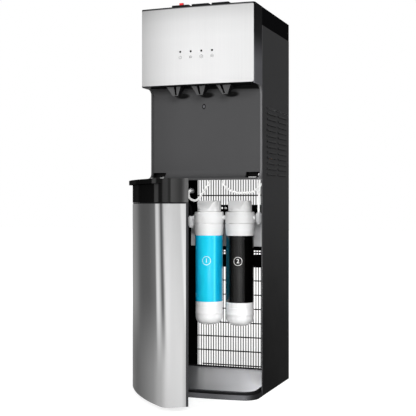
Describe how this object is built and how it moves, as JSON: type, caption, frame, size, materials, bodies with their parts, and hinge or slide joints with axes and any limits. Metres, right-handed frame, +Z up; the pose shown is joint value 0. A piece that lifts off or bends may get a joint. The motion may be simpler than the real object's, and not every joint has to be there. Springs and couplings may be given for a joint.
{
  "type": "floor-standing water cooler",
  "caption": "Floor-standing water cooler: push keys over three faucets, a recessed filling alcove, and a swing door with drip tray over a bay of filter cartridges.",
  "frame": {"origin": "on the floor, under the centre of the cabinet's footprint (the cabinet without the door's bow and the fittings at the back)", "axes": "+Z up, the front with the faucets and door faces -Y, +X to the right seen from the front"},
  "size_m": [0.3614, 0.5699, 1.0578],
  "materials": {
    "black_steel": "textured satin black paint on steel sheet",
    "wire_black": "black enamel on steel pipe and wire",
    "zinc_plate": "zinc-plated steel sheet",
    "gloss_black": "polished black moulded plastic",
    "satin_black": "satin black moulded plastic",
    "alcove_grey": "fine-textured dark grey moulded plastic",
    "spout_grey": "smooth dark grey moulded plastic",
    "tray_grey": "smooth mid grey moulded plastic",
    "brushed_fascia": "brushed stainless steel, grain upright",
    "brushed_door": "brushed stainless steel, grain upright",
    "stainless": "plain stainless steel",
    "white_plastic": "white moulded plastic",
    "label_cyan": "bright cyan film over a white shell",
    "label_black": "gloss black film over a white shell",
    "tube_white": "milky flexible tube",
    "fitting_grey": "pale grey moulded fitting",
    "copper": "bare copper pipe, lightly tarnished",
    "foam": "pale moulded insulating foam",
    "compressor_black": "black enamelled steel shell",
    "signal_red": "red moulded plastic",
    "switch_blue": "blue moulded plastic",
    "switch_green": "green moulded plastic",
    "clear_lens": "clear moulded plastic"
  },
  "bodies": {
    "cabinet": {"base_pan": "satin_black", "floor_plate": "tray_grey", "side_panel_left": "black_steel", "side_panel_right": "black_steel", "deck": "zinc_plate", "tank_shelf": "zinc_plate", "rear_panel": "black_steel", "alcove_panel": "alcove_grey", "night_light": "clear_lens", "head_shell": "gloss_black", "fascia": "brushed_fascia", "light_guide": "clear_lens", "top_cover": "gloss_black", "faucet_hot": "spout_grey", "faucet_room": "spout_grey", "faucet_cold": "spout_grey", "filter_head_1": "white_plastic", "filter_head_2": "white_plastic", "inlet_elbow": "fitting_grey", "outlet_elbow": "fitting_grey", "crossbar": "black_steel", "filter_bracket": "tray_grey", "condenser": "wire_black", "compressor": "compressor_black", "discharge_line": "copper", "cold_jacket": "foam", "cold_tank": "stainless", "evaporator": "copper", "suction_line": "copper", "hot_tank": "stainless", "control_box": "white_plastic", "power_inlet": "satin_black", "inlet_valve": "white_plastic", "inlet_union": "fitting_grey", "drain_plug": "signal_red", "inlet_tube": "tube_white", "feed_tube": "tube_white", "purified_tube": "tube_white", "drain_tube": "tube_white", "hot_tube": "tube_white", "room_tube": "tube_white", "cold_tube": "tube_white", "hinge_bracket": "stainless", "hinge_pin": "stainless", "door_catch": "stainless"},
    "door": {"door_skin": "brushed_door", "door_liner": "satin_black", "tray_housing": "gloss_black"},
    "tray": {"drip_tray": "satin_black"},
    "grate": {"drip_grate": "stainless"},
    "hot_key": {"key_hot": "satin_black"},
    "room_key": {"key_room": "satin_black"},
    "cold_key": {"key_cold": "satin_black"},
    "lock_slider": {"child_lock": "signal_red"},
    "cartridge_1": {"filter_cartridge_1": "label_cyan"},
    "cartridge_2": {"filter_cartridge_2": "label_black"},
    "hot_switch": {"switch_hot": "signal_red"},
    "cold_switch": {"switch_cold": "switch_blue"},
    "light_switch": {"switch_light": "switch_green"}
  },
  "joints": [
    {"name": "door_hinge", "type": "hinge", "parent": "cabinet", "child": "door", "pos_m": [-0.151, -0.115, 0.3], "axis": [0, 0, 1], "range_deg": [-48.5, 51.5]},
    {"name": "drip_tray_lift", "type": "slide", "parent": "door", "child": "tray", "axis": [0, 0, 1], "range_m": [0, 0.08]},
    {"name": "drip_grate_lift", "type": "slide", "parent": "tray", "child": "grate", "axis": [0, 0, 1], "range_m": [0, 0.05]},
    {"name": "hot_key_press", "type": "slide", "parent": "cabinet", "child": "hot_key", "axis": [0, 0, -1], "range_m": [0, 0.0035], "stiffness_N_per_m": 600, "springref_m": -0.004},
    {"name": "room_key_press", "type": "slide", "parent": "cabinet", "child": "room_key", "axis": [0, 0, -1], "range_m": [0, 0.0035], "stiffness_N_per_m": 600, "springref_m": -0.004},
    {"name": "cold_key_press", "type": "slide", "parent": "cabinet", "child": "cold_key", "axis": [0, 0, -1], "range_m": [0, 0.0035], "stiffness_N_per_m": 600, "springref_m": -0.004},
    {"name": "child_lock_slide", "type": "slide", "parent": "hot_key", "child": "lock_slider", "axis": [1, 0, 0], "range_m": [0, 0.004], "stiffness_N_per_m": 150, "springref_m": -0.002},
    {"name": "cartridge_1_twist", "type": "hinge", "parent": "cabinet", "child": "cartridge_1", "pos_m": [-0.04725, 0.057, 0.3], "axis": [0, 0, 1], "range_deg": [0, 90]},
    {"name": "cartridge_2_twist", "type": "hinge", "parent": "cabinet", "child": "cartridge_2", "pos_m": [0.04725, 0.057, 0.3], "axis": [0, 0, 1], "range_deg": [0, 90]},
    {"name": "hot_switch_rock", "type": "hinge", "parent": "cabinet", "child": "hot_switch", "pos_m": [0.06, 0.16845, 0.95], "axis": [1, 0, 0], "range_deg": [0, 12]},
    {"name": "cold_switch_rock", "type": "hinge", "parent": "cabinet", "child": "cold_switch", "pos_m": [0.086, 0.16845, 0.95], "axis": [1, 0, 0], "range_deg": [0, 12]},
    {"name": "light_switch_rock", "type": "hinge", "parent": "cabinet", "child": "light_switch", "pos_m": [0.112, 0.16845, 0.95], "axis": [1, 0, 0], "range_deg": [0, 12]}
  ]
}
